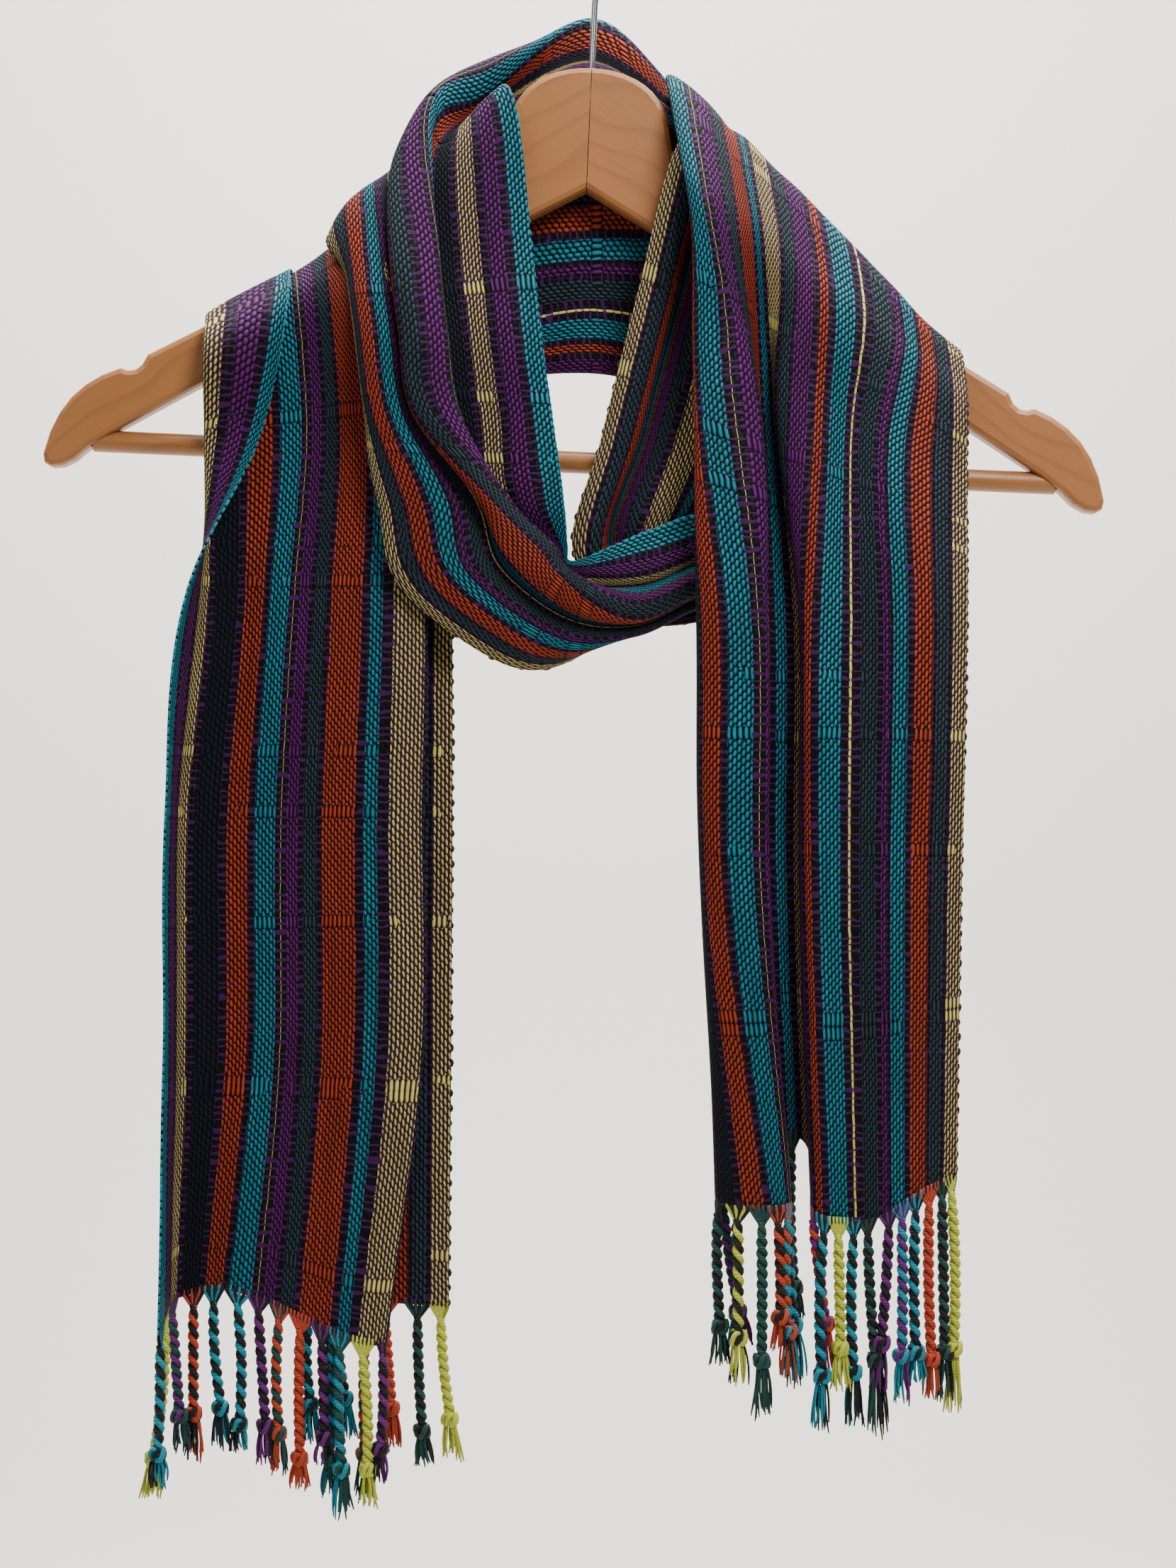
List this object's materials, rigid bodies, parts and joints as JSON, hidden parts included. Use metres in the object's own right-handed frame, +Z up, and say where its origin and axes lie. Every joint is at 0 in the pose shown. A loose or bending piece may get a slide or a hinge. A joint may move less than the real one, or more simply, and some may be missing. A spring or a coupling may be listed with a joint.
{
  "type": "striped woven scarf wound on a wooden hanger",
  "caption": "Long striped hand-woven scarf with a twisted fringe, wound once round the neck of a wooden hanger with a round cross-bar and a wire hook.",
  "frame": {"origin": "the point under the top of the hook where the hook bears on its rail", "axes": "+Z up, +X to the viewer's right along the hanger's arms, -Y towards the viewer, out of the scarf's front"},
  "size_m": [0.4455, 0.0905, 0.6912],
  "materials": {
    "cloth": "hand-woven lengthwise stripes, matt with a little sheen",
    "fringe": "twisted two-ply cords of the warp colours, knotted",
    "wood": "clear satin lacquer",
    "hook_wire": "polished"
  },
  "bodies": {
    "root": {"scarf_tail_left": "cloth", "scarf_neck_under": "cloth", "scarf_strip_right": "cloth", "scarf_loop_front": "cloth", "scarf_neck_over": "cloth", "scarf_tail_right": "cloth", "fringe_left": "fringe", "fringe_right": "fringe", "hanger_board_left": "wood", "hanger_board_right": "wood", "hanger_bar": "wood", "hanger_hook": "hook_wire"}
  },
  "joints": []
}
